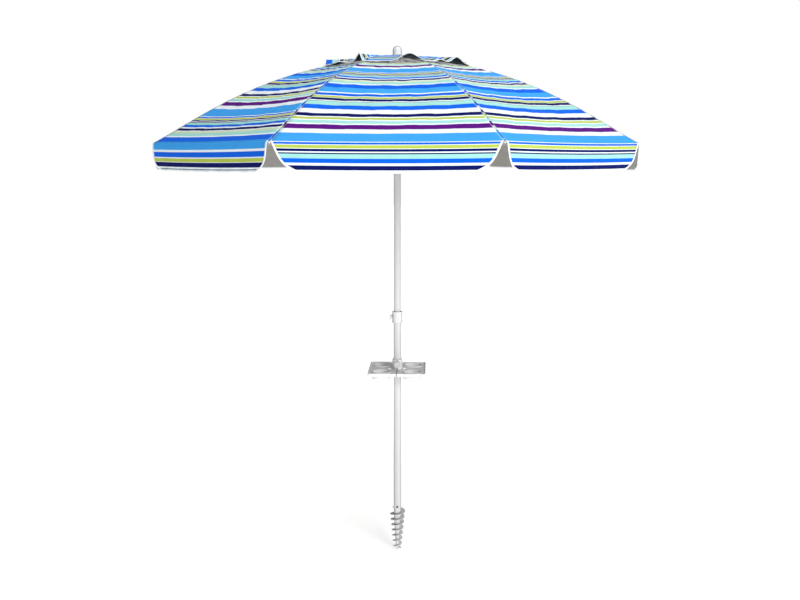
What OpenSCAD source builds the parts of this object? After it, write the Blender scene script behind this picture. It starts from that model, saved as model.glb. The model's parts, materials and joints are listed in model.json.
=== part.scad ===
/* [Canopy] */
// Radius of the canopy at the rib tips
tip_radius = 960; // [940:5:980]
// Height of the rib tips above the lower end of the pole
tip_height = 1536; // [1520:1:1560]
// Height of the crown above the rib tips
rise = 331; // [310:1:340]
// Extra height of the crown under the vent cap
crown_lift = 11; // [8:1:12]
// Depth of the valance below the rib tips
valance_depth = 102; // [80:1:110]
// Radius of the vent opening at the ribs
vent_radius = 290; // [280:1:295]
// Radius of the vent cap's hem at the ribs
cap_radius = 305; // [300:1:310]
// Thickness of the fabric
fabric = 2; // [1.5:0.1:2]
/* [Frame] */
// Diameter of a rib rod
rib_d = 5; // [4:0.5:5]
// Radius at which a strut meets its rib
strut_radius = 330; // [320:5:340]
// Height of the strut pivots on the runner
runner_height = 1646; // [1640:1:1655]
// Radius of the strut pivots on the runner
runner_pivot_r = 28; // [28:0.5:29]
// Radius of the rib pivots on the crown
crown_pivot_r = 24; // [24:0.5:25]
// Height of the tilt pivot
tilt_height = 1556; // [1550:1:1560]
/* [Pole] */
// Outer diameter of the upper pole and the head tube
upper_d = 28; // [28:0.1:28]
// Outer diameter of the lower pole
lower_d = 32; // [32:0.1:33]
// Length of the lower pole
lower_len = 840; // [836:1:842]
// Height of the upper pole's lower end
upper_foot = 560; // [520:5:580]
// Length of the sand anchor below the pole
anchor_len = 190; // [180:1:200]
/* [Table] */
// Side of the square table
table_side = 237; // [230:1:250]
// Height of the table's rim
table_top = 614; // [600:1:620]
// Inner radius of a cup well
well_r = 36.5; // [34:0.5:37]
// Depth of a cup well
well_depth = 28; // [24:1:32]
// Distance of a cup well from the middle, along each side
well_offset = 64; // [62:1:66]

/* [Hidden] */
RIBS = 8;
rib_names = [for (k = [1:RIBS]) str("rib_", k)];
strut_names = [for (k = [1:RIBS]) str("strut_", k)];
gore_names = [for (k = [1:RIBS]) str("gore_", k)];
flap_a_names = [for (k = [1:RIBS]) str("valance_", k, "_a")];
flap_b_names = [for (k = [1:RIBS]) str("valance_", k, "_b")];

$fn = 48;
step_angle = 360 / RIBS;
half_step = step_angle / 2;
upper_r = upper_d / 2;
lower_r = lower_d / 2;
tube_wall = 1.5;
upper_bore = upper_r - tube_wall;
lower_bore = upper_r + 0.3;
pin_r = 1.5;
pin_hole_r = pin_r + 0.06;
rib_drop = 6.5;
bracket_drop = 7;
edge_gap = 0.4;
top_z = tip_height + rise + crown_lift;
white = [0.94, 0.94, 0.93];

// Height of the canopy's outer face on a rib, at radius r
function canopy_z(r) =
    let (u = r / tip_radius, c = max(0, 1 - pow(u / 0.35, 2)))
    tip_height + rise * (1 - 1.04 * pow(u, 2) + 0.04 * pow(u, 14)) + crown_lift * c * c;
// Height of a rib's centre line, and its slope in degrees
function rib_z(r) = canopy_z(r) - rib_drop;
function rib_slope(r) = atan2(rib_z(r + 1) - rib_z(r - 1), 2);
// Point at radius r and azimuth a
function polar(r, a) = [r * cos(a), r * sin(a)];
// Step of a given length square to the rib's plane, for the gap at a seam
function inset(a, side) = [-sin(a) * side, cos(a) * side];

crown_z = rib_z(crown_pivot_r);
strut_foot = [runner_pivot_r, runner_height];
rim_distance = tip_radius * cos(half_step);
rim_half = tip_radius * sin(half_step);

// Azimuth of rib k: a gore's middle faces -Y
function rib_azimuth(k) = -90 - half_step + (k - 1) * step_angle;

module tube(outer, inner, z0, z1) {
    translate([0, 0, z0])
    difference() {
        cylinder(r = outer, h = z1 - z0);
        translate([0, 0, -1]) cylinder(r = inner, h = z1 - z0 + 2);
    }
}

module ring_solid(rings, sides) {
    n = len(rings);
    points = [for (ring = rings) for (p = ring) p];
    walls = [for (i = [0:n - 2]) for (j = [0:sides - 1])
        let (a = i * sides + j, b = i * sides + (j + 1) % sides)
        each [[a, b, b + sides], [a, b + sides, a + sides]]];
    start = [for (j = [1:sides - 2]) [0, j + 1, j]];
    last = (n - 1) * sides;
    finish = [for (j = [1:sides - 2]) [last, last + j, last + j + 1]];
    polyhedron(points = points, faces = concat(walls, start, finish), convexity = 4);
}

module lower_pole() {
    color(white)
    difference() {
        tube(lower_r, lower_bore, 0, lower_len);
        translate([0, -lower_r + 4, 10]) rotate([90, 0, 0]) cylinder(r = 4.1, h = 10);
    }
}

// The blade is a ramp that narrows towards the point
module sand_anchor() {
    turns = 7.4;
    pitch = 24;
    blade_foot = -anchor_len + 8;
    per_turn = 16;
    count = turns * per_turn;
    blade = [for (i = [0:count])
        let (a = i * 360 / per_turn, z = blade_foot + i * pitch / per_turn,
             reach = 17 + 17 * i / count, inner = 5, half = 1.6)
        [[inner * cos(a), inner * sin(a), z - half], [reach * cos(a), reach * sin(a), z - 0.8],
         [reach * cos(a), reach * sin(a), z + 0.8], [inner * cos(a), inner * sin(a), z + half]]];
    color(white)
    union() {
        translate([0, 0, -anchor_len]) cylinder(r1 = 1, r2 = 7.5, h = 20);
        translate([0, 0, -anchor_len + 20]) cylinder(r1 = 7.5, r2 = lower_r, h = anchor_len - 28);
        translate([0, 0, -8]) cylinder(r = lower_r, h = 8);
        ring_solid(blade, 4);
        difference() {
            cylinder(r = lower_bore - 0.1, h = 60);
            translate([0, 0, 10]) rotate([90, 0, 0]) cylinder(r = 4.1, h = 40);
        }
    }
}

module anchor_button() {
    color([0.1, 0.1, 0.11])
    translate([0, -4, 10]) rotate([90, 0, 0]) {
        cylinder(r = 4, h = lower_r - 3);
        translate([0, 0, lower_r - 3]) cylinder(r1 = 4, r2 = 2.8, h = 1.2);
    }
}

clamp_z0 = 806;
clamp_z1 = 853;
clamp_pivot_x = -26;
clamp_pivot_z = 830;
module clamp_collar() {
    lug = 12;
    color(white)
    difference() {
        union() {
            translate([0, 0, clamp_z0]) cylinder(r = 21, h = clamp_z1 - clamp_z0);
            translate([0, 0, clamp_z0 - 0.01]) cylinder(r = 21.8, h = 4);
            translate([0, 0, clamp_z1 - 4]) cylinder(r = 21.8, h = 4);
            translate([clamp_pivot_x, -lug / 2, clamp_pivot_z - 10]) cube([14, lug, 20]);
            translate([clamp_pivot_x, lug / 2, clamp_pivot_z]) rotate([90, 0, 0])
                cylinder(r = 5, h = lug);
        }
        translate([0, 0, clamp_z0 - 1]) cylinder(r = lower_r + 0.05, h = lower_len - clamp_z0 + 1);
        translate([0, 0, lower_len - 1]) cylinder(r = lower_bore, h = 20);
        translate([-50, -1, clamp_z0 - 1]) cube([50, 2, clamp_z1 - clamp_z0 + 2]);
        translate([clamp_pivot_x, 10, clamp_pivot_z]) rotate([90, 0, 0])
            cylinder(r = 2.05, h = 20);
    }
}

module clamp_pin() {
    color("silver")
    translate([clamp_pivot_x, 10.5, clamp_pivot_z]) rotate([90, 0, 0]) {
        cylinder(r = 2, h = 21);
        translate([0, 0, -1.2]) cylinder(r = 3.4, h = 1.2);
        translate([0, 0, 21]) cylinder(r = 3.4, h = 1.2);
    }
}

module clamp_lever() {
    cheek_y = 6.5;
    cheek = 3.5;
    color(white)
    translate([clamp_pivot_x, 0, clamp_pivot_z])
    difference() {
        union() {
            for (side = [-1, 1])
            translate([0, side * (cheek_y + cheek / 2) + cheek / 2, 0]) rotate([90, 0, 0])
                linear_extrude(cheek)
                union() {
                    circle(r = 5.6);
                    polygon([[-6, 2], [3, -5.5], [-7, -20], [-11, -20], [-11, -10]]);
                }
            translate([-11, -10, -45]) cube([3.6, 20, 31]);
        }
        translate([0, 20, 0]) rotate([90, 0, 0]) cylinder(r = 2.08, h = 40);
    }
}

module upper_pole() {
    color(white)
    difference() {
        tube(upper_r, upper_bore, upper_foot, tilt_height - 16);
        translate([0, -8, tilt_height - 30]) rotate([90, 0, 0]) cylinder(r = 4.1, h = 10);
    }
}

// Round plug and collar shared by both halves of the tilt joint
knuckle_plug = upper_bore - 0.05;
module tilt_lower_knuckle() {
    color("silver")
    difference() {
        union() {
            translate([0, 0, tilt_height - 66]) cylinder(r = knuckle_plug, h = 50);
            translate([0, 0, tilt_height - 16]) cylinder(r = upper_r, h = 4);
            intersection() {
                translate([0, 0, tilt_height - 20]) cylinder(r = upper_r - 0.1, h = 40);
                union() {
                    translate([-5, -10, tilt_height - 14]) cube([10, 20, 14]);
                    translate([-5, 0, tilt_height]) rotate([0, 90, 0]) cylinder(r = 10, h = 10);
                }
            }
        }
        translate([-20, 0, tilt_height]) rotate([0, 90, 0]) cylinder(r = 3.06, h = 40);
        translate([0, -1, tilt_height - 30]) rotate([90, 0, 0]) cylinder(r = 4.08, h = 20);
    }
}

module tilt_upper_knuckle() {
    color("silver")
    difference() {
        union() {
            translate([0, 0, tilt_height + 16]) cylinder(r = knuckle_plug, h = 44);
            translate([0, 0, tilt_height + 12]) cylinder(r = upper_r, h = 4);
            intersection() {
                translate([0, 0, tilt_height - 20]) cylinder(r = upper_r - 0.1, h = 40);
                for (x = [-15, 5.3])
                union() {
                    translate([x, -10, tilt_height]) cube([9.7, 20, 14]);
                    translate([x, 0, tilt_height]) rotate([0, 90, 0]) cylinder(r = 10, h = 9.7);
                }
            }
        }
        translate([-20, 0, tilt_height]) rotate([0, 90, 0]) cylinder(r = 3.06, h = 40);
    }
}

module tilt_pin() {
    color("dimgray")
    translate([-13.4, 0, tilt_height]) rotate([0, 90, 0]) cylinder(r = 3, h = 26.8);
}

module tilt_button() {
    color([0.1, 0.1, 0.11])
    translate([0, -4, tilt_height - 30]) rotate([90, 0, 0]) cylinder(r = 4, h = upper_r - 4.2);
}

module head_tube() {
    color(white) tube(upper_r, upper_bore, tilt_height + 16, crown_z + 8);
}

// Slotted crown that holds the rib pins
module crown_hub() {
    color(white)
    difference() {
        translate([0, 0, crown_z - 10]) cylinder(r = 31, h = 18);
        translate([0, 0, crown_z - 11]) cylinder(r = upper_r + 0.02, h = 20);
        for (k = [1:RIBS])
        rotate([0, 0, rib_azimuth(k)]) {
            translate([18, -3.2, crown_z - 11]) cube([20, 6.4, 20]);
            translate([crown_pivot_r, 6, crown_z]) rotate([90, 0, 0]) cylinder(r = pin_hole_r, h = 12);
        }
    }
}

finial_flange_z = top_z + 4.6;
finial_dome_z = top_z + 27;
finial_dome_r = 18;
module finial() {
    color(white)
    rotate_extrude()
    polygon(concat(
        [[0, crown_z - 20], [upper_bore - 0.05, crown_z - 20], [upper_bore - 0.05, crown_z + 8.02]],
        [[20, crown_z + 8.02], [20, finial_flange_z], [28.5, finial_flange_z]],
        [[28.5, finial_flange_z + 1.5], [27, finial_flange_z + 3], [19, finial_flange_z + 6]],
        [[finial_dome_r, finial_flange_z + 9], [finial_dome_r, finial_dome_z]],
        [for (a = [10:10:90]) [finial_dome_r * cos(a), finial_dome_z + finial_dome_r * sin(a)]]));
}

// Height of the vent cap's outer face over a rib
function cap_z(r) = canopy_z(r) + 2 + 2.6;
module vent_cap() {
    radii = [26, 90, 160, 230, cap_radius];
    function ring(r, drop) = [for (k = [1:RIBS]) let (a = rib_azimuth(k))
        [r * cos(a), r * sin(a), cap_z(r) - drop]];
    outer = [for (r = radii) ring(r, 0)];
    inner = [for (i = [len(radii) - 1:-1:0]) ring(radii[i], fabric)];
    loop = concat(outer, inner);
    n = len(loop);
    points = [for (ring = loop) for (p = ring) p];
    faces = [for (i = [0:n - 1]) for (j = [0:RIBS - 1])
        let (m = (i + 1) % n, q = (j + 1) % RIBS)
        each [[i * RIBS + j, m * RIBS + j, m * RIBS + q], [i * RIBS + j, m * RIBS + q, i * RIBS + q]]];
    color([0.1, 0.4, 0.85]) polyhedron(points = points, faces = faces, convexity = 6);
}

runner_r = 20;
module runner() {
    collar_r = 34;
    button_z = runner_height - 32;
    color(white)
    difference() {
        union() {
            translate([0, 0, runner_height - 50]) cylinder(r = runner_r, h = 60);
            translate([0, 0, runner_height - 8]) cylinder(r = collar_r, h = 16);
            translate([0, 0, runner_height - 50]) cylinder(r = 23, h = 6);
            translate([0, 0, button_z]) rotate([90, 0, 0]) cylinder(r = 9, h = 26);
        }
        translate([0, 0, runner_height - 60]) cylinder(r = upper_r + 0.4, h = 80);
        translate([0, -13, button_z]) rotate([90, 0, 0]) cylinder(r = 5.08, h = 23);
        for (k = [1:RIBS])
        rotate([0, 0, rib_azimuth(k)])
            translate([runner_r, -4, runner_height - 9]) cube([20, 8, 18]);
    }
}

module runner_button() {
    color([0.1, 0.1, 0.11])
    translate([0, -17, runner_height - 32]) rotate([90, 0, 0]) {
        cylinder(r = 5, h = 11);
        translate([0, 0, 11]) cylinder(r1 = 5, r2 = 4, h = 1);
    }
}

table_floor = table_top - 8;
hub_r = 21;
module table_shape() {
    half = table_side / 2;
    difference() {
        union() {
            translate([0, 0, table_floor]) linear_extrude(4) rounded_square(half, 10);
            translate([0, 0, table_top - 12]) linear_extrude(12)
            difference() {
                rounded_square(half, 10);
                rounded_square(half - 4, 7);
            }
            for (x = [-1, 1]) for (y = [-1, 1])
            translate([x * well_offset, y * well_offset, table_top - 1 - well_depth - 2]) {
                cylinder(r = well_r + 2, h = well_depth + 2);
                translate([0, 0, well_depth - 1]) cylinder(r = well_r + 4, h = 3);
            }
            translate([0, 0, table_floor - 6]) cylinder(r = hub_r, h = 46 + 6);
        }
        for (x = [-1, 1]) for (y = [-1, 1])
        translate([x * well_offset, y * well_offset, table_top - 1 - well_depth])
            cylinder(r = well_r, h = well_depth + 5);
        for (x = [-1, 1])
        translate([x * 31 - 6, -12, table_floor - 5]) cube([12, 24, 12]);
        translate([0, 0, table_floor - 20]) cylinder(r = lower_r + 0.35, h = 100);
    }
}

module rounded_square(half, corner) {
    union() {
        square([2 * half - 2 * corner, 2 * half], center = true);
        square([2 * half, 2 * half - 2 * corner], center = true);
        for (x = [-1, 1]) for (y = [-1, 1])
            translate([x * (half - corner), y * (half - corner)]) circle(r = corner);
    }
}

knob_z = table_top + 20;
seam_gap = 0.3;
module knob_boss(r, from) {
    translate([0, -from, knob_z]) rotate([90, 0, 0]) cylinder(r = r, h = 30 - from);
}
module knob_hole() {
    translate([0, -10, knob_z]) rotate([90, 0, 0]) cylinder(r = 3.1, h = 40);
}

module table_left() {
    color(white)
    difference() {
        table_shape();
        translate([-seam_gap / 2, -200, 0]) cube([400, 400, 1000]);
        knob_boss(8.3, 15);
    }
}

module table_right() {
    color(white)
    difference() {
        union() {
            difference() {
                table_shape();
                translate([-400 + seam_gap / 2, -200, 0]) cube([400, 400, 1000]);
            }
            difference() {
                knob_boss(8, lower_r + 0.8);
                translate([0, 0, table_floor]) cylinder(r = lower_r + 0.35, h = 60);
            }
        }
        knob_hole();
    }
}

module table_knob() {
    lobes = 8;
    color(white)
    translate([0, -lower_r - 0.3, knob_z]) rotate([90, 0, 0]) {
        cylinder(r = 3, h = 16);
        translate([0, 0, 14.2])
        linear_extrude(12)
        difference() {
            circle(r = 13);
            for (i = [0:lobes - 1])
                rotate([0, 0, (i + 0.5) * 360 / lobes]) translate([14.6, 0]) circle(r = 3);
        }
    }
}

// One rib with its eye and pin at the crown, its strut bracket and its tip cap
module rib(k) {
    sides = 8;
    from = crown_pivot_r + 4;
    reach = tip_radius - 6;
    count = 18;
    rings = [for (i = [0:count])
        let (r = from + (reach - from) * i / count, tilt = rib_slope(r))
        [for (j = [0:sides - 1]) let (a = 360 * j / sides, up = rib_d / 2 * sin(a))
            [r - up * sin(tilt), -rib_d / 2 * cos(a), rib_z(r) + up * cos(tilt)]]];
    rotate([0, 0, rib_azimuth(k)]) {
        color([0.9, 0.9, 0.9])
        union() {
            ring_solid(rings, sides);
            translate([crown_pivot_r, 3, crown_z]) rotate([90, 0, 0]) cylinder(r = 4, h = 6);
            translate([crown_pivot_r, -3, crown_z - 2.4]) cube([12, 6, 4.8]);
            translate([crown_pivot_r, 5.8, crown_z]) rotate([90, 0, 0])
                cylinder(r = pin_r, h = 11.6);
        }
        color(white)
        translate([strut_radius, 0, rib_z(strut_radius)])
        rotate([0, -rib_slope(strut_radius), 0])
        difference() {
            translate([-9, -4, -bracket_drop - 4]) cube([18, 8, bracket_drop + 7.4]);
            translate([-10, 0, 0]) rotate([0, 90, 0]) cylinder(r = rib_d / 2 + 0.12, h = 20);
            translate([-10, -1.7, -bracket_drop - 6]) cube([20, 3.4, 9.4]);
            translate([0, 10, -bracket_drop]) rotate([90, 0, 0]) cylinder(r = pin_hole_r, h = 20);
        }
        color(white)
        translate([tip_radius - 6, 0, rib_z(tip_radius - 6)])
        rotate([0, -rib_slope(tip_radius - 6), 0])
        difference() {
            union() {
                translate([-14, 0, 0]) rotate([0, 90, 0]) cylinder(r = 3.9, h = 20);
                translate([6, 0, 0]) sphere(r = 3.9);
            }
            translate([-15, 0, 0]) rotate([0, 90, 0]) cylinder(r = rib_d / 2 + 0.5, h = 16.2);
        }
    }
}

// Flat channel strut, pinned under the rib, with a cross pin for the runner's slot
module strut(k) {
    lean = rib_slope(strut_radius);
    pivot = [strut_radius - bracket_drop * sin(-lean), rib_z(strut_radius) - bracket_drop * cos(lean)];
    span = norm(pivot - strut_foot);
    angle = atan2(pivot[1] - strut_foot[1], pivot[0] - strut_foot[0]);
    rotate([0, 0, rib_azimuth(k)])
    translate([strut_foot[0], 0, strut_foot[1]])
    rotate([0, -angle, 0])
    color([0.9, 0.9, 0.9])
    union() {
        translate([0, -2.6, -2.5]) cube([span - 16, 5.2, 5]);
        translate([span - 18, -1.5, -2.5]) cube([18, 3, 5]);
        translate([0, 3, 0]) rotate([90, 0, 0]) cylinder(r = 3.2, h = 6);
        translate([span, 1.5, 0]) rotate([90, 0, 0]) cylinder(r = 2.5, h = 3);
        translate([0, 3.7, 0]) rotate([90, 0, 0]) cylinder(r = pin_r, h = 7.4);
        translate([span, 4.6, 0]) rotate([90, 0, 0]) cylinder(r = pin_r, h = 9.2);
    }
}

module gore(k) {
    count = 14;
    left = rib_azimuth(k);
    right = left + step_angle;
    rings = [for (i = [0:count])
        let (r = vent_radius + (tip_radius - vent_radius) * i / count,
             a = polar(r, left) + inset(left, edge_gap), b = polar(r, right) - inset(right, edge_gap),
             z = canopy_z(r))
        [[a[0], a[1], z], [a[0], a[1], z - fabric], [b[0], b[1], z - fabric], [b[0], b[1], z]]];
    color(k % 2 == 0 ? [0.27, 0.62, 0.92] : [0.1, 0.4, 0.85]) ring_solid(rings, 4);
}

// Half of a valance flap, in the upright plane under the gore's rim; side is -1 or 1
module valance_half(k, side) {
    top = tip_height - fabric - edge_gap;
    depth = valance_depth - (tip_height - top);
    corner = rim_half - 11;
    middle = rib_azimuth(k) + half_step;
    outline = [[0.15, 0], [corner, 0], [corner - 20, -0.45 * depth], [corner - 40, -0.72 * depth],
        [corner - 62, -0.89 * depth], [corner - 96, -depth], [0.15, -depth]];
    color([0.27, 0.62, 0.92])
    rotate([0, 0, middle])
    translate([rim_distance, 0, top])
    rotate([90, 0, -90])
    linear_extrude(fabric)
    polygon([for (p = outline) [-side * p[0], p[1]]]);
}

lower_pole();
sand_anchor();
anchor_button();
clamp_collar();
clamp_lever();
clamp_pin();
upper_pole();
tilt_lower_knuckle();
tilt_upper_knuckle();
tilt_pin();
tilt_button();
head_tube();
crown_hub();
finial();
vent_cap();
runner();
runner_button();
table_left();
table_right();
table_knob();
for (k = [1:RIBS]) rib(k);
for (k = [1:RIBS]) strut(k);
for (k = [1:RIBS]) gore(k);
for (k = [1:RIBS]) valance_half(k, -1);
for (k = [1:RIBS]) valance_half(k, 1);
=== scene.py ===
import json
import math
import bmesh
import bpy
import numpy as np
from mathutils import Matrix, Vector


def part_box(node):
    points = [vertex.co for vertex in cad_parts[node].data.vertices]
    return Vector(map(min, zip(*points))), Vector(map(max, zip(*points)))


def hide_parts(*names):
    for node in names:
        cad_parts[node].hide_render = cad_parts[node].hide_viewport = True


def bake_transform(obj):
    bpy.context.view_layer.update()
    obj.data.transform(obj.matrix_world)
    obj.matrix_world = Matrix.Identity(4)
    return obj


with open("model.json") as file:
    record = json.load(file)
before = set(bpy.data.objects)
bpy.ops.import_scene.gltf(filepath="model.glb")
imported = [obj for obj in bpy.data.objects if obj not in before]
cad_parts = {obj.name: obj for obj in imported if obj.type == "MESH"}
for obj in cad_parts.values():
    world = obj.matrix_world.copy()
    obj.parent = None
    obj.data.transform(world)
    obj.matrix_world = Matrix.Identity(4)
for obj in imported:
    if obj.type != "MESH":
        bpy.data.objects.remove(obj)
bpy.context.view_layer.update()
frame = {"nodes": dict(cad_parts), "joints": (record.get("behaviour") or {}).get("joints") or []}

joints = {j["name"]: j for j in frame["joints"]}

# ---------------------------------------------------------------- sizes, metres
RIBS = 8
STEP = 2 * math.pi / RIBS
RIM_DISTANCE = -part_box("gore_1")[0].y
TIP_RADIUS = RIM_DISTANCE / math.cos(STEP / 2)
RIM_HALF = TIP_RADIUS * math.sin(STEP / 2)
TIP_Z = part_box("gore_1")[0].z + 0.002
VALANCE_DEPTH = TIP_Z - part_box("valance_1_a")[0].z
RISE = 0.331
CROWN_LIFT = 0.011
VENT_RADIUS = 0.290
CAP_RADIUS = 0.305
CAP_INNER = 0.026
CAP_ABOVE = 0.0046
CLOTH = 0.0007
THREAD = 0.0006
SEAM_FOLD = 0.0016
SEAM_LAP = 0.0045
LAP_SHIFT = 0.012
STITCH_PLACE = 0.0065
STITCH_HALF = 0.0007
STITCH_LENGTH = 0.0042
BINDING_WIDTH = 0.0055
BINDING_PROUD = 0.0009
ANCHOR_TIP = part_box("sand_anchor")[0].z


def canopy_height(r):
    """Height of the canopy over a rib, at radius r."""
    u = r / TIP_RADIUS
    crown = max(0.0, 1 - (u / 0.35) ** 2)
    return TIP_Z + RISE * (1 - 1.04 * u ** 2 + 0.04 * u ** 14) + CROWN_LIFT * crown * crown


def rib_azimuth(k):
    return -math.pi / 2 - STEP / 2 + (k - 1) * STEP


def middle_azimuth(k):
    return rib_azimuth(k) + STEP / 2


# ---------------------------------------------------------------- print
SKY = (0.045, 0.350, 0.830)
ROYAL = (0.002, 0.120, 0.750)
NAVY = (0.002, 0.006, 0.105)
WHITE = (0.820, 0.880, 0.920)
LIME = (0.450, 0.550, 0.080)
PALE_LIME = (0.600, 0.700, 0.480)
MINT = (0.340, 0.690, 0.640)
PURPLE = (0.100, 0.003, 0.200)
# The same group of stripes comes narrow and then wide, from the crown outwards, in mm
NARROW = [(8, ROYAL), (2, WHITE), (9, LIME), (2, WHITE), (8, NAVY), (5, WHITE), (3, NAVY),
          (13, MINT), (14, ROYAL), (9, WHITE), (13, NAVY), (4, WHITE)]
WIDE = [(18, ROYAL), (4, WHITE), (11, LIME), (3, WHITE), (16, NAVY), (5, WHITE), (3, NAVY),
        (24, MINT), (25, ROYAL), (26, WHITE), (17, NAVY), (7, WHITE)]
# One repeat of the print, from the middle of the purple stripe outwards, in mm
PRINT = ([(12, PURPLE), (25, WHITE), (50, SKY), (4, WHITE)] + NARROW
         + [(13, PALE_LIME), (18, MINT), (8, WHITE), (30, ROYAL), (37, SKY), (8, WHITE)] + WIDE
         + [(12, LIME), (6, WHITE), (16, MINT), (8, WHITE), (12, PURPLE)])
REPEAT = sum(width for width, _ in PRINT) / 1000
# Where the purple stripe falls on each gore: the cloth is cut at two places of the print
CUT_FRONT = 0.875
CUT_SIDE = 0.700
CUTS = (CUT_FRONT, CUT_FRONT, CUT_SIDE, CUT_FRONT, CUT_SIDE, CUT_FRONT, CUT_SIDE, CUT_SIDE)


# ---------------------------------------------------------------- shader helpers
def new_material(name):
    material = bpy.data.materials.new(name)
    material.use_nodes = True
    tree = material.node_tree
    tree.nodes.clear()
    out = tree.nodes.new("ShaderNodeOutputMaterial")
    shader = tree.nodes.new("ShaderNodeBsdfPrincipled")
    tree.links.new(shader.outputs["BSDF"], out.inputs["Surface"])
    return material, tree, shader


def add(tree, kind, **values):
    node = tree.nodes.new(kind)
    for key, value in values.items():
        setattr(node, key, value)
    return node


def math_node(tree, operation, a, b=None, clamp=False):
    node = add(tree, "ShaderNodeMath", operation=operation, use_clamp=clamp)
    for socket, value in zip(node.inputs, (a, b)):
        if value is None:
            continue
        if isinstance(value, (int, float)):
            socket.default_value = value
        else:
            tree.links.new(value, socket)
    return node.outputs[0]


def mix_colour(tree, factor, a, b, blend="MIX"):
    node = add(tree, "ShaderNodeMix", data_type="RGBA", blend_type=blend)
    for socket, value in ((node.inputs[0], factor), (node.inputs[6], a), (node.inputs[7], b)):
        if isinstance(value, (int, float)):
            socket.default_value = value
        elif isinstance(value, tuple):
            socket.default_value = (*value, 1) if len(value) == 3 else value
        else:
            tree.links.new(value, socket)
    return node.outputs[2]


def new_group(name, inputs, outputs):
    tree = bpy.data.node_groups.new(name, "ShaderNodeTree")
    for socket_name, kind, value in inputs:
        socket = tree.interface.new_socket(socket_name, in_out="INPUT", socket_type=kind)
        if value is not None:
            socket.default_value = value
    for socket_name, kind in outputs:
        tree.interface.new_socket(socket_name, in_out="OUTPUT", socket_type=kind)
    return tree, add(tree, "NodeGroupInput"), add(tree, "NodeGroupOutput")


def use_group(tree, group, **values):
    node = add(tree, "ShaderNodeGroup", node_tree=group)
    for key, value in values.items():
        socket = node.inputs[key]
        if isinstance(value, (int, float)):
            socket.default_value = value
        elif isinstance(value, tuple):
            socket.default_value = (*value, 1) if len(value) == 3 else value
        else:
            tree.links.new(value, socket)
    return node


def build_print_group():
    """Colour of the striped print, from the place along the cloth in metres."""
    tree, given, result = new_group(
        "striped print", [("Place", "NodeSocketFloat", 0.0)], [("Color", "NodeSocketColor")])
    turn = math_node(tree, "DIVIDE", given.outputs["Place"], REPEAT)
    share = math_node(tree, "FRACT", turn)
    ramps = []
    stops, at = [], 0.0
    for width, colour in PRINT:
        stops.append((at / 1000 / REPEAT, colour))
        at += width
    half = len(stops) // 2
    for part in (stops[:half], stops[half:]):
        ramp = add(tree, "ShaderNodeValToRGB")
        ramp.color_ramp.interpolation = "CONSTANT"
        elements = ramp.color_ramp.elements
        while len(elements) < len(part):
            elements.new(1.0)
        for element, (place, colour) in zip(elements, part):
            element.position = place
            element.color = (*colour, 1)
        tree.links.new(share, ramp.inputs["Fac"])
        ramps.append(ramp.outputs["Color"])
    later = math_node(tree, "GREATER_THAN", share, stops[half][0])
    tree.links.new(mix_colour(tree, later, ramps[0], ramps[1]), result.inputs["Color"])
    return tree


def build_weave_group():
    """Plain weave: threads over and under along both ways of the cloth."""
    tree, given, result = new_group(
        "plain weave",
        [("Across", "NodeSocketFloat", 0.0), ("Along", "NodeSocketFloat", 0.0),
         ("Thread", "NodeSocketFloat", THREAD)],
        [("Height", "NodeSocketFloat"), ("Shade", "NodeSocketFloat")])
    waves = []
    for name in ("Across", "Along"):
        turns = math_node(tree, "DIVIDE", given.outputs[name], given.outputs["Thread"])
        waves.append(math_node(tree, "SINE", math_node(tree, "MULTIPLY", turns, math.pi)))
    cross = math_node(tree, "MULTIPLY", waves[0], waves[1])
    height = math_node(tree, "ABSOLUTE", cross)
    tree.links.new(height, result.inputs["Height"])
    shade = math_node(tree, "ADD", math_node(tree, "MULTIPLY", height, 0.10), 0.93)
    tree.links.new(shade, result.inputs["Shade"])
    return tree


def build_wear_group():
    """Faint uneven tone, fine grain and dust for moulded and coated parts."""
    tree, given, result = new_group(
        "surface wear",
        [("Color", "NodeSocketColor", (1, 1, 1, 1)), ("Dirt", "NodeSocketColor", (0.5, 0.48, 0.44, 1)),
         ("Amount", "NodeSocketFloat", 0.15), ("Grain", "NodeSocketFloat", 900.0),
         ("Roughness", "NodeSocketFloat", 0.4)],
        [("Color", "NodeSocketColor"), ("Roughness", "NodeSocketFloat"), ("Height", "NodeSocketFloat")])
    place = add(tree, "ShaderNodeTexCoord").outputs["Object"]
    cloud = add(tree, "ShaderNodeTexNoise")
    cloud.inputs["Scale"].default_value = 14.0
    cloud.inputs["Detail"].default_value = 5.0
    fine = add(tree, "ShaderNodeTexNoise")
    fine.inputs["Detail"].default_value = 2.0
    for node in (cloud, fine):
        tree.links.new(place, node.inputs["Vector"])
    tree.links.new(given.outputs["Grain"], fine.inputs["Scale"])
    edges = add(tree, "ShaderNodeNewGeometry").outputs["Pointiness"]
    worn = math_node(tree, "MULTIPLY", math_node(tree, "SUBTRACT", edges, 0.52), 6.0, clamp=True)
    above = math_node(tree, "SUBTRACT", cloud.outputs["Fac"], 0.45)
    patches = math_node(tree, "MULTIPLY", above, 2.0, clamp=True)
    marked = math_node(tree, "ADD", patches, worn, clamp=True)
    mask = math_node(tree, "MULTIPLY", marked, given.outputs["Amount"])
    shown = mix_colour(tree, mask, given.outputs["Color"], given.outputs["Dirt"])
    tree.links.new(shown, result.inputs["Color"])
    uneven = math_node(tree, "MULTIPLY", math_node(tree, "SUBTRACT", cloud.outputs["Fac"], 0.5), 0.25)
    rough = math_node(tree, "ADD", given.outputs["Roughness"], uneven, clamp=True)
    tree.links.new(rough, result.inputs["Roughness"])
    tree.links.new(fine.outputs["Fac"], result.inputs["Height"])
    return tree


print_group = build_print_group()
weave_group = build_weave_group()
wear_group = build_wear_group()


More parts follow.
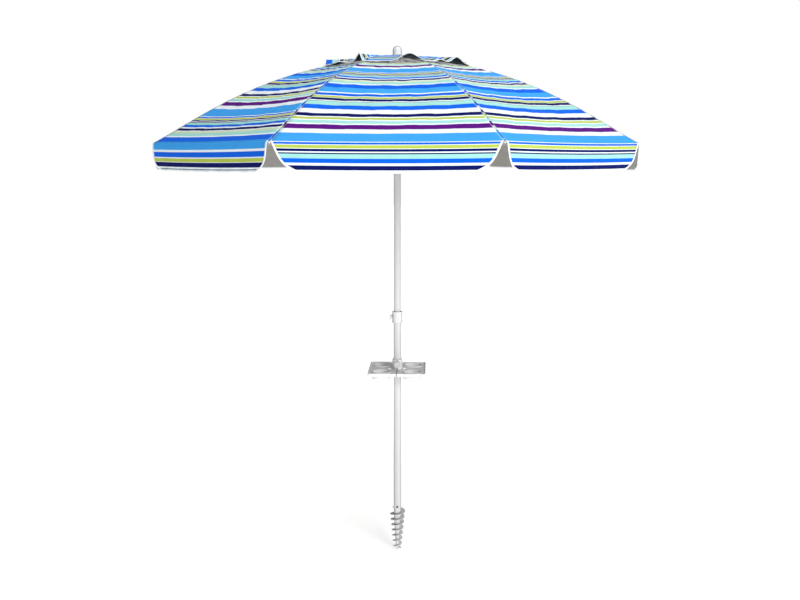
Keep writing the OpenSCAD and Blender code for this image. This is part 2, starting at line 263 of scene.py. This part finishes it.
def bump(tree, shader, height, distance, strength=0.5):
    node = add(tree, "ShaderNodeBump")
    node.inputs["Distance"].default_value = distance
    node.inputs["Strength"].default_value = strength
    tree.links.new(height, node.inputs["Height"])
    tree.links.new(node.outputs["Normal"], shader.inputs["Normal"])


def cloth_places(tree):
    """Place across and along the cloth, in metres, from the cloth's own map."""
    split = add(tree, "ShaderNodeSeparateXYZ")
    tree.links.new(add(tree, "ShaderNodeUVMap", uv_map="cloth").outputs["UV"], split.inputs[0])
    return split.outputs["X"], split.outputs["Y"]


def seam_stitches(tree):
    """Masks of the painted shade in the seam's fold and of the seam's stitches, from the distance to the
    nearest seam.
    """
    distance = add(tree, "ShaderNodeAttribute", attribute_name="seam_distance").outputs["Fac"]
    _, along = cloth_places(tree)
    off_line = math_node(tree, "ABSOLUTE", math_node(tree, "SUBTRACT", distance, STITCH_PLACE))
    near = math_node(tree, "LESS_THAN", off_line, STITCH_HALF)
    turn = math_node(tree, "FRACT", math_node(tree, "DIVIDE", along, STITCH_LENGTH))
    dash = math_node(tree, "LESS_THAN", turn, 0.68)
    thread = math_node(tree, "MULTIPLY", near, dash)
    fold = math_node(tree, "LESS_THAN", distance, SEAM_FOLD)
    return thread, fold, distance


def striped_cloth():
    material, tree, shader = new_material("striped polyester")
    across, along = cloth_places(tree)
    weave = use_group(tree, weave_group, Across=across, Along=along, Thread=THREAD)
    thread, fold, distance = seam_stitches(tree)
    # in the lap beside a seam the print is shifted, as where a gore is sewn over its neighbour
    lap = math_node(tree, "LESS_THAN", distance, SEAM_LAP)
    place = math_node(tree, "ADD", along, math_node(tree, "MULTIPLY", lap, LAP_SHIFT))
    colour = use_group(tree, print_group, Place=place).outputs["Color"]
    cloud = add(tree, "ShaderNodeTexNoise")
    cloud.inputs["Scale"].default_value = 7.0
    cloud.inputs["Detail"].default_value = 6.0
    tone = math_node(tree, "ADD", math_node(tree, "MULTIPLY", cloud.outputs["Fac"], 0.12), 0.94)
    shade = math_node(tree, "MULTIPLY", weave.outputs["Shade"], tone)
    grey = add(tree, "ShaderNodeCombineColor")
    for channel in grey.inputs:
        tree.links.new(shade, channel)
    woven = mix_colour(tree, 1.0, colour, grey.outputs["Color"], blend="MULTIPLY")
    # painted shade: a dark line is painted in the fold along each seam
    seam_shaded = mix_colour(tree, math_node(tree, "MULTIPLY", fold, 0.55), woven, (0.01, 0.03, 0.10))
    sewn = mix_colour(tree, math_node(tree, "MULTIPLY", thread, 0.75), seam_shaded, (0.80, 0.83, 0.86))
    tree.links.new(sewn, shader.inputs["Base Color"])
    shader.inputs["Roughness"].default_value = 0.78
    shader.inputs["Sheen Weight"].default_value = 0.02
    shader.inputs["Sheen Roughness"].default_value = 0.45
    shader.inputs["Specular IOR Level"].default_value = 0.06
    pucker = add(tree, "ShaderNodeTexNoise")
    pucker.inputs["Scale"].default_value = 60.0
    near_seam = math_node(tree, "SUBTRACT", 1.0, math_node(tree, "DIVIDE", distance, 0.035), clamp=True)
    gather = math_node(tree, "MULTIPLY", math_node(tree, "MULTIPLY", pucker.outputs["Fac"], near_seam), 3.0)
    height = math_node(tree, "ADD", weave.outputs["Height"], gather)
    height = math_node(tree, "ADD", height, math_node(tree, "MULTIPLY", thread, 1.5))
    bump(tree, shader, height, 0.0004, 0.55)
    return material


def coated_lining(name, colour, roughness, gloss):
    """The coated back of the cloth: a silver-grey film over the weave."""
    material, tree, shader = new_material(name)
    across, along = cloth_places(tree)
    weave = use_group(tree, weave_group, Across=across, Along=along, Thread=THREAD)
    thread, fold, _ = seam_stitches(tree)
    cloud = add(tree, "ShaderNodeTexNoise")
    cloud.inputs["Scale"].default_value = 5.0
    cloud.inputs["Detail"].default_value = 7.0
    shade = math_node(tree, "ADD", math_node(tree, "MULTIPLY", cloud.outputs["Fac"], 0.3), 0.85)
    shade = math_node(tree, "MULTIPLY", shade, weave.outputs["Shade"])
    grey = add(tree, "ShaderNodeCombineColor")
    for channel in grey.inputs:
        tree.links.new(shade, channel)
    base = mix_colour(tree, 1.0, colour, grey.outputs["Color"], blend="MULTIPLY")
    # painted shade: a dark line is painted in the fold along each seam
    base = mix_colour(tree, math_node(tree, "MULTIPLY", fold, 0.4), base, (0.1, 0.1, 0.1))
    base = mix_colour(tree, math_node(tree, "MULTIPLY", thread, 0.6), base, (0.8, 0.8, 0.8))
    tree.links.new(base, shader.inputs["Base Color"])
    shader.inputs["Roughness"].default_value = roughness
    shader.inputs["Specular IOR Level"].default_value = gloss
    bump(tree, shader, weave.outputs["Height"], 0.0002, 0.35)
    return material


def binding_tape():
    material, tree, shader = new_material("white binding tape")
    across, along = cloth_places(tree)
    ribbed = math_node(tree, "SINE", math_node(tree, "MULTIPLY", along, 2 * math.pi / 0.0011))
    edge = math_node(tree, "ABSOLUTE", math_node(tree, "SUBTRACT", across, 0.5))
    off_line = math_node(tree, "ABSOLUTE", math_node(tree, "SUBTRACT", edge, 0.34))
    near = math_node(tree, "LESS_THAN", off_line, 0.05)
    turn = math_node(tree, "FRACT", math_node(tree, "DIVIDE", along, 0.004))
    dash = math_node(tree, "LESS_THAN", turn, 0.65)
    thread = math_node(tree, "MULTIPLY", near, dash)
    base = mix_colour(tree, math_node(tree, "MULTIPLY", thread, 0.35), (0.84, 0.86, 0.88), (0.50, 0.54, 0.60))
    tree.links.new(base, shader.inputs["Base Color"])
    shader.inputs["Roughness"].default_value = 0.75
    shader.inputs["Sheen Weight"].default_value = 0.15
    sunk = math_node(tree, "MULTIPLY", thread, -1.2)
    height = math_node(tree, "ADD", math_node(tree, "MULTIPLY", ribbed, 0.4), sunk)
    bump(tree, shader, height, 0.0003, 0.5)
    return material


# The painted shade that a white part shows edge on, and the painted shade in the gap of the table's joint
PAINTED_EDGE_SHADE = (0.10, 0.105, 0.11)
JOINT_GAP_SHADE = (0.12, 0.12, 0.11)


# rim sets how strong the painted edge shade is
def coated_surface(name, colour, roughness, dirt=(0.55, 0.53, 0.50), amount=0.12, grain=900.0,
                   metallic=0.0, coat=0.0, depth=0.00006, rim=0.65, seam=0.0):
    material, tree, shader = new_material(name)
    wear = use_group(tree, wear_group, Color=colour, Dirt=dirt, Amount=amount, Grain=grain,
                     Roughness=roughness)
    # painted shade: the part is painted greyer where it is seen edge on, so that it shows against a white
    # backdrop
    facing = add(tree, "ShaderNodeLayerWeight").outputs["Facing"]
    edge = math_node(tree, "MULTIPLY", math_node(tree, "SUBTRACT", facing, 0.25), 2.6, clamp=True)
    edge = math_node(tree, "MULTIPLY", edge, rim)
    shown = mix_colour(tree, edge, wear.outputs["Color"], PAINTED_EDGE_SHADE)
    if seam:
        # painted shade: a dark line is painted down the gap where the two halves meet, seam metres to each
        # side
        split = add(tree, "ShaderNodeSeparateXYZ")
        tree.links.new(add(tree, "ShaderNodeTexCoord").outputs["Object"], split.inputs[0])
        near = math_node(tree, "LESS_THAN", math_node(tree, "ABSOLUTE", split.outputs["X"]), seam)
        shown = mix_colour(tree, math_node(tree, "MULTIPLY", near, 0.8), shown, JOINT_GAP_SHADE)
    tree.links.new(shown, shader.inputs["Base Color"])
    tree.links.new(wear.outputs["Roughness"], shader.inputs["Roughness"])
    shader.inputs["Metallic"].default_value = metallic
    shader.inputs["Coat Weight"].default_value = coat
    shader.inputs["Coat Roughness"].default_value = 0.15
    bump(tree, shader, wear.outputs["Height"], depth, 0.4)
    return material


cloth = striped_cloth()
lining = coated_lining("silver lining", (0.34, 0.33, 0.31), 0.5, 0.4)
# the cap's lining is painted near black: painted shade for the shade under the lifted cap
cap_shade_lining = coated_lining("cap lining painted as shade", (0.006, 0.010, 0.018), 0.8, 0.05)
tape = binding_tape()
white_paint = coated_surface("white powder coat", (0.63, 0.635, 0.64), 0.32, coat=0.25, grain=1600.0)
white_plastic = coated_surface("white moulded plastic", (0.72, 0.725, 0.725), 0.38, grain=1200.0, amount=0.10)
# the table's halves get a painted shade line down their joint, and less painted edge shade
table_plastic = coated_surface("white table plastic", (0.82, 0.825, 0.825), 0.38, grain=1200.0,
                               amount=0.08, rim=0.2, seam=0.002)
zinc = coated_surface("zinc-plated steel", (0.62, 0.62, 0.63), 0.30, dirt=(0.35, 0.33, 0.30), amount=0.35,
                      metallic=0.9, grain=500.0)
rib_paint = coated_surface("white rib paint", (0.62, 0.63, 0.64), 0.35, coat=0.2, amount=0.2)
dark_plastic = coated_surface("dark button plastic", (0.012, 0.012, 0.014), 0.42, dirt=(0.06, 0.06, 0.06))


# ---------------------------------------------------------------- mesh helpers
def make_piece(name, points, faces, materials, uv=None, seam=None, smooth=True):
    mesh = bpy.data.meshes.new(name)
    mesh.from_pydata([tuple(p) for p in points], [], faces)
    for material in materials:
        mesh.materials.append(material)
    if uv is not None:
        layer = mesh.uv_layers.new(name="cloth")
        for loop in mesh.loops:
            layer.data[loop.index].uv = uv[loop.vertex_index]
    if seam is not None:
        layer = mesh.attributes.new("seam_distance", "FLOAT", "POINT")
        layer.data.foreach_set("value", np.array(seam, np.float32))
    for polygon in mesh.polygons:
        polygon.use_smooth = smooth
    mesh.update()
    piece = bpy.data.objects.new(name, mesh)
    bpy.context.scene.collection.objects.link(piece)
    return piece


def grid_faces(rows, columns, around=False):
    faces = []
    for i in range(rows - 1):
        for j in range(columns if around else columns - 1):
            a, b = i * columns + j, i * columns + (j + 1) % columns
            faces.append((a, a + columns, b + columns, b))
    return faces


def thicken(piece, thickness, inner_slot=1):
    """Gives a sheet its thickness, with the lining's material on its back."""
    solid = piece.modifiers.new("thickness", "SOLIDIFY")
    solid.thickness = thickness
    solid.offset = -1
    solid.material_offset = inner_slot
    solid.material_offset_rim = 0
    return piece


# ---------------------------------------------------------------- folding of the cloth
class Fold:
    """How far each point of a gore goes with the next rib when the umbrella closes."""

    def __init__(self, k):
        joint = joints[f"gore_{k}_fold"]
        self.point = np.array(joint["pos_m"], float)
        self.axis = np.array(joint["axis"], float)
        self.angle = math.radians(joint["range_deg"][1])
        a = middle_azimuth(k)
        self.normal = np.array((-math.sin(a), math.cos(a), 0.0))
        self.forward = np.cross(self.normal, self.axis)
        if self.forward @ (self.gore_point(k, TIP_RADIUS, 0.5) - self.point) < 0:
            self.forward = -self.forward
        self.k = k

    def gore_point(self, k, r, s):
        a, b = rib_azimuth(k), rib_azimuth(k) + STEP
        left = np.array((r * math.cos(a), r * math.sin(a), canopy_height(r)))
        right = np.array((r * math.cos(b), r * math.sin(b), canopy_height(r)))
        return left * (1 - s) + right * s

    def turn(self, point):
        v = point - self.point
        return math.atan2(v @ self.normal, v @ self.forward)

    def share(self, r, s):
        """Share of the fold at radius r and at s of the way from rib k to the next."""
        side = -1 if s < 0.5 else 1
        middle = 1 - abs(2 * s - 1)
        at_rib = abs(self.turn(self.gore_point(self.k, r, 0.0))) - self.angle / 2
        plump = 0.15 + 0.75 * (r / TIP_RADIUS) ** 3
        lobe = (1 - middle) + plump * math.sin(math.pi * middle)
        wanted = side * at_rib * lobe
        here = self.turn(self.gore_point(self.k, r, s))
        return min(1.0, max(0.0, 0.5 + (here - wanted) / self.angle))


folds = {k: Fold(k) for k in range(1, RIBS + 1)}


def ride_fold(piece, k, places):
    """Bakes the piece's transform and works out each point's share of the fold between rib k and the next,
    which is not used further; places are each point's (radius, share across).
    """
    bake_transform(piece)
    # a gore is a wedge, so its share of the fold runs from rib to rib at each radius
    share = np.array([folds[k].share(r, s) for r, s in places], np.float32)


# ---------------------------------------------------------------- canopy
def ripple(x, y, seed):
    """Small smooth unevenness of hanging cloth, from -1 to 1."""
    total = 0.0
    for i, (fx, fy, phase) in enumerate(((3.1, 1.7, 0.3), (5.3, 4.1, 1.9), (9.7, 2.3, 4.2), (2.2, 7.9, 2.6))):
        total += math.sin(fx * x + fy * y + phase + seed * (1.3 + i)) / (1 + 0.6 * i)
    return total / 2.4


def gore_surface(k, r, s):
    """Point of the sewn gore: straight at the ribs, sagging a little between them."""
    p = folds[k].gore_point(k, r, s)
    middle = 4 * s * (1 - s)
    reach = (r - VENT_RADIUS) / (TIP_RADIUS - VENT_RADIUS)
    sag = 0.010 * middle * (0.35 + 0.65 * math.sin(math.pi * min(1.0, max(0.0, reach))))
    fade = min(1.0, middle * 2.5) * min(1.0, (1.0 - reach) * 6 + 0.02)
    sag += 0.0016 * fade * ripple(9 * s + 0.4 * k, 11 * reach, k)
    tension = 0.0018 * math.exp(-((1 - reach) / 0.10) ** 2) * (math.sin(2 * math.pi * 3 * s) * middle)
    p[2] -= sag + tension * (1 - reach)
    return p


def print_place(k, r):
    """Place on the print of radius r, in metres from the purple stripe."""
    return r - CUTS[k - 1] + 4 * REPEAT


def build_gore(k):
    rows, columns = 46, 33
    points, uv, seam, places = [], [], [], []
    for i in range(rows):
        r = VENT_RADIUS + (TIP_RADIUS - VENT_RADIUS) * i / (rows - 1)
        half = r * math.sin(STEP / 2)
        for j in range(columns):
            s = j / (columns - 1)
            points.append(gore_surface(k, r, s))
            uv.append(((2 * s - 1) * half, print_place(k, r)))
            seam.append((1 - abs(2 * s - 1)) * half)
            places.append((r, s))
    piece = make_piece(f"canopy_gore_{k}", points, grid_faces(rows, columns), [cloth, lining], uv, seam)
    thicken(piece, CLOTH)
    ride_fold(piece, k, places)
    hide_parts(f"gore_{k}")
    return piece


# How much the left and right edges of each flap lean away from the ribs, in metres over the depth
LEAN = {1: (0.045, 0.045), 2: (0.014, 0.050), 8: (0.020, 0.012)}
PLAIN_LEAN = (0.032, 0.032)
HEM_CORNER = 0.045
FLAP_GAP = 0.004
# The flap bends over the rim and then hangs, waving and flaring a little
FLAP_BEND = 0.014
FLAP_PROUD = 0.0055
FLAP_TAKEN = 0.0040
FLAP_WAVE = 0.0050
FLAP_FLARE = 0.004


def flap_edge(k, side, t):
    """Place along the rim of a flap's edge at depth share t; side is -1 on the left, 1 on the right."""
    lean = LEAN.get(k, PLAIN_LEAN)[side > 0]
    return side * (RIM_HALF - FLAP_GAP - lean * t - HEM_CORNER * t ** 6)


def flap_surface(k, x, depth):
    """Point of valance flap k: x along the rim from its middle, depth below the rim."""
    s = 0.5 + x / (2 * RIM_HALF)
    rim = gore_surface(k, TIP_RADIUS, s)
    a = middle_azimuth(k)
    outward = np.array((math.cos(a), math.sin(a), 0.0))
    turn = min(1.0, depth / FLAP_BEND)
    out = FLAP_PROUD * math.sin(turn * math.pi / 2)
    down = depth - FLAP_TAKEN * math.sin(turn * math.pi / 2)
    t = depth / VALANCE_DEPTH
    wave = FLAP_WAVE * t ** 1.5 * ripple(2.4 * s * 5 + k, 1.3 * k, 2 * k)
    flare = FLAP_FLARE * t
    return rim + outward * (out + wave + flare) + np.array((0, 0, -down))


def build_flap(k):
    rows, columns = 16, 61
    points, uv, seam, places = [], [], [], []
    for i in range(rows):
        t = i / (rows - 1)
        depth = VALANCE_DEPTH * t
        left, right = flap_edge(k, -1, t), flap_edge(k, 1, t)
        for j in range(columns):
            x = left + (right - left) * j / (columns - 1)
            points.append(flap_surface(k, x, depth))
            uv.append((x, print_place(k, TIP_RADIUS + depth)))
            seam.append(0.1)
            places.append((TIP_RADIUS, 0.5 + x / (2 * RIM_HALF)))
    piece = make_piece(f"valance_flap_{k}", points, grid_faces(rows, columns), [cloth, lining], uv, seam)
    thicken(piece, CLOTH)
    ride_fold(piece, k, places)
    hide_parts(f"valance_{k}_a", f"valance_{k}_b")
    return piece


def tape_loop(name, spine, inner, outward, places):
    """Binding tape folded over an edge: spine is the edge, inner the tape's sewn side."""
    points, uv, all_places = [], [], []
    length = 0.0
    for i, (edge, sewn, normal) in enumerate(zip(spine, inner, outward)):
        if i:
            length += float(np.linalg.norm(edge - spine[i - 1]))
        past = (edge - sewn) / max(1e-9, np.linalg.norm(edge - sewn)) * 0.0008
        front, back = normal * BINDING_PROUD, -normal * (BINDING_PROUD + CLOTH)
        middle = (sewn + edge) / 2
        section = [sewn + front * 0.7, middle + front, edge + front * 0.8,
                   edge + past * 1.2 + (front + back) / 2,
                   edge + back * 0.8, middle + back, sewn + back * 0.7]
        across = (0.0, 0.25, 0.45, 0.5, 0.55, 0.75, 1.0)
        for p, u in zip(section, across):
            points.append(p)
            uv.append((u, length))
            all_places.append(places[i])
    sides = 7
    faces = grid_faces(len(spine), sides, around=True)
    faces.append(tuple(range(sides)))
    faces.append(tuple(range(len(points) - sides, len(points))))
    piece = make_piece(name, points, faces, [tape], uv)
    shell = bmesh.new()
    shell.from_mesh(piece.data)
    bmesh.ops.recalc_face_normals(shell, faces=shell.faces)
    shell.to_mesh(piece.data)
    shell.free()
    return piece, all_places


def build_flap_binding(k):
    """White tape round the flap's two sides and its hem."""
    edge_path = []
    side_steps, hem_steps = 18, 60
    down = [(i / side_steps) ** 0.8 for i in range(side_steps)]
    left, right = flap_edge(k, -1, 1.0), flap_edge(k, 1, 1.0)
    edge_path += [(flap_edge(k, -1, t), VALANCE_DEPTH * t) for t in down]
    edge_path += [(left + (right - left) * i / hem_steps, VALANCE_DEPTH) for i in range(hem_steps + 1)]
    edge_path += [(flap_edge(k, 1, t), VALANCE_DEPTH * t) for t in reversed(down)]
    a = middle_azimuth(k)
    outward = np.array((math.cos(a), math.sin(a), 0.0))
    spine, inner, normals, places = [], [], [], []
    for i, (x, d) in enumerate(edge_path):
        before, after = edge_path[max(0, i - 1)], edge_path[min(len(edge_path) - 1, i + 1)]
        tx, td = after[0] - before[0], after[1] - before[1]
        size = math.hypot(tx, td)
        nx, nd = td / size, -tx / size
        spine.append(flap_surface(k, x, d))
        inner.append(flap_surface(k, x + nx * BINDING_WIDTH, max(0.0, d + nd * BINDING_WIDTH)))
        normals.append(outward)
        places.append((TIP_RADIUS, 0.5 + x / (2 * RIM_HALF)))
    piece, all_places = tape_loop(f"valance_binding_{k}", spine, inner, normals, places)
    ride_fold(piece, k, all_places)
    return piece


def build_vent_binding(k):
    """White tape on the gore's upper edge, round the vent opening."""
    steps = 24
    spine, inner, normals, places = [], [], [], []
    for i in range(steps + 1):
        s = i / steps
        spine.append(gore_surface(k, VENT_RADIUS, s))
        inner.append(gore_surface(k, VENT_RADIUS + BINDING_WIDTH, s))
        normals.append(np.array((0.0, 0.0, 1.0)))
        places.append((VENT_RADIUS, s))
    piece, all_places = tape_loop(f"vent_binding_{k}", spine, inner, normals, places)
    ride_fold(piece, k, all_places)
    return piece


# ---------------------------------------------------------------- vent cap
# Waves of the cap's hem on each gore: place between the ribs, half width, height in metres
CAP_WAVES = {1: ((0.74, 0.17, 0.028),),
             2: ((0.34, 0.12, 0.010), (0.72, 0.15, 0.025)),
             8: ((0.40, 0.14, 0.007), (0.91, 0.10, 0.030))}
PLAIN_WAVE = ((0.76, 0.16, 0.027),)
# Where the cap's print starts, and how much further on every other gore of it
CAP_CUT = 0.062
CAP_CUT_STEP = 0.045


def cap_surface(k, r, s):
    """Point of the vent cap: tied down at the ribs, lifting in waves between them."""
    p = folds[k].gore_point(k, r, s)
    reach = (r - CAP_INNER) / (CAP_RADIUS - CAP_INNER)
    tied = min(1.0, 14 * s * (1 - s))
    waves = CAP_WAVES.get(k, PLAIN_WAVE)
    lift = sum(height * math.exp(-((s - place) / width) ** 2) for place, width, height in waves)
    p[2] += CAP_ABOVE + tied * lift * reach ** 2.6
    return p


def build_cap_gore(k):
    rows, columns = 20, 49
    points, uv, seam, places = [], [], [], []
    for i in range(rows):
        r = CAP_INNER + (CAP_RADIUS - CAP_INNER) * i / (rows - 1)
        half = r * math.sin(STEP / 2)
        for j in range(columns):
            s = j / (columns - 1)
            points.append(cap_surface(k, r, s))
            uv.append(((2 * s - 1) * half, r + CAP_CUT + CAP_CUT_STEP * (k % 2)))
            seam.append((1 - abs(2 * s - 1)) * half)
            places.append((r, s))
    piece = make_piece(f"vent_cap_gore_{k}", points, grid_faces(rows, columns), [cloth, cap_shade_lining], uv, seam)
    thicken(piece, CLOTH)
    ride_fold(piece, k, places)
    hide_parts("vent_cap")
    return piece


def build_cap_binding(k):
    steps = 48
    spine, inner, normals, places = [], [], [], []
    for i in range(steps + 1):
        s = i / steps
        spine.append(cap_surface(k, CAP_RADIUS, s))
        inner.append(cap_surface(k, CAP_RADIUS - BINDING_WIDTH, s))
        normals.append(np.array((0.0, 0.0, 1.0)))
        places.append((CAP_RADIUS, s))
    piece, all_places = tape_loop(f"vent_cap_binding_{k}", spine, inner, normals, places)
    ride_fold(piece, k, all_places)
    return piece


def sew_canopy():
    for k in range(1, RIBS + 1):
        gore = build_gore(k)
        build_vent_binding(k)
        flap = build_flap(k)
        build_flap_binding(k)
        cap = build_cap_gore(k)
        build_cap_binding(k)


sew_canopy()


# ---------------------------------------------------------------- finish of the frame's own pieces
def finish_node(names, material):
    for name in names:
        node = frame["nodes"][name]
        node.data.materials.clear()
        node.data.materials.append(material)


numbered = [str(k) for k in range(1, RIBS + 1)]
finish_node(["lower_pole", "upper_pole", "head_tube"], white_paint)
finish_node(["tilt_lower_knuckle", "tilt_upper_knuckle", "tilt_pin", "clamp_pin"], zinc)
finish_node(["anchor_button", "tilt_button", "runner_button"], dark_plastic)
finish_node(["rib_" + n for n in numbered] + ["strut_" + n for n in numbered], rib_paint)
finish_node(["sand_anchor", "clamp_collar", "clamp_lever", "crown_hub", "finial", "runner", "table_knob"],
            white_plastic)
finish_node(["table_left", "table_right"], table_plastic)


# ---------------------------------------------------------------- studio
def build_floor():
    size = 30.0
    mesh = bpy.data.meshes.new("floor")
    mesh.from_pydata([(-size, -size, ANCHOR_TIP), (size, -size, ANCHOR_TIP), (size, size, ANCHOR_TIP),
                      (-size, size, ANCHOR_TIP)], [], [(0, 1, 2, 3)])
    floor = bpy.data.objects.new("floor", mesh)
    bpy.context.scene.collection.objects.link(floor)
    material, tree, shader = new_material("pale floor")
    shader.inputs["Base Color"].default_value = (0.90, 0.90, 0.90, 1)
    shader.inputs["Roughness"].default_value = 0.9
    # the floor glows a little, more with distance, so that it stays as white as the backdrop
    far = add(tree, "ShaderNodeVectorMath", operation="LENGTH")
    tree.links.new(add(tree, "ShaderNodeTexCoord").outputs["Object"], far.inputs[0])
    glow = math_node(tree, "ADD", math_node(tree, "MULTIPLY", far.outputs["Value"], 0.12), 0.42)
    grey = add(tree, "ShaderNodeCombineColor")
    for channel in grey.inputs:
        tree.links.new(math_node(tree, "MINIMUM", glow, 0.75), channel)
    tree.links.new(grey.outputs["Color"], shader.inputs["Emission Color"])
    shader.inputs["Emission Strength"].default_value = 1.0
    mesh.materials.append(material)


def area_light(name, place, target, size, power, colour=(1, 1, 1)):
    data = bpy.data.lights.new(name, "AREA")
    data.shape = "RECTANGLE"
    data.size, data.size_y = size
    data.energy = power
    data.color = colour
    light = bpy.data.objects.new(name, data)
    bpy.context.scene.collection.objects.link(light)
    light.location = place
    direction = Vector(target) - Vector(place)
    light.rotation_euler = direction.to_track_quat("-Z", "Y").to_euler()


def build_studio():
    """White backdrop, soft light from all round with less of it from the left, and two area lights."""
    world = bpy.data.worlds.new("studio")
    world.use_nodes = True
    tree = world.node_tree
    backdrop = tree.nodes["Background"]
    backdrop.inputs["Color"].default_value = (1, 1, 1, 1)
    backdrop.inputs["Strength"].default_value = 1.0
    soft = add(tree, "ShaderNodeBackground")
    split = add(tree, "ShaderNodeSeparateXYZ")
    tree.links.new(add(tree, "ShaderNodeTexCoord").outputs["Generated"], split.inputs[0])
    side = math_node(tree, "ADD", math_node(tree, "MULTIPLY", split.outputs["X"], 0.36), 0.58, clamp=True)
    tree.links.new(side, soft.inputs["Strength"])
    seen = add(tree, "ShaderNodeLightPath")
    mix = add(tree, "ShaderNodeMixShader")
    tree.links.new(seen.outputs["Is Camera Ray"], mix.inputs[0])
    tree.links.new(soft.outputs["Background"], mix.inputs[1])
    tree.links.new(backdrop.outputs["Background"], mix.inputs[2])
    tree.links.new(mix.outputs[0], tree.nodes["World Output"].inputs["Surface"])
    bpy.context.scene.world = world
    bpy.context.scene.view_settings.view_transform = "Standard"
    area_light("key", (2.6, -5.0, 3.0), (0, 0, 1.1), (2.4, 2.4), 175)
    area_light("top", (0.4, -1.4, 5.6), (0, 0, 1.6), (3.0, 3.0), 95)


def build_camera():
    """The camera stands a little to the right of the front gore's middle, just under the rim's height."""
    distance, azimuth, height = 3.84, math.radians(2.0), TIP_Z - 0.055
    sideways = 0.011
    data = bpy.data.cameras.new("camera")
    data.lens = 42.2
    data.sensor_width = 36.0
    data.clip_end = 100
    camera = bpy.data.objects.new("camera", data)
    bpy.context.scene.collection.objects.link(camera)
    right = Vector((math.cos(azimuth), math.sin(azimuth), 0))
    back = Vector((distance * math.sin(azimuth), -distance * math.cos(azimuth), height))
    camera.location = back + right * sideways
    camera.rotation_euler = (math.pi / 2 - math.radians(8.6), 0, azimuth)
    bpy.context.scene.camera = camera


build_floor()
build_studio()
build_camera()
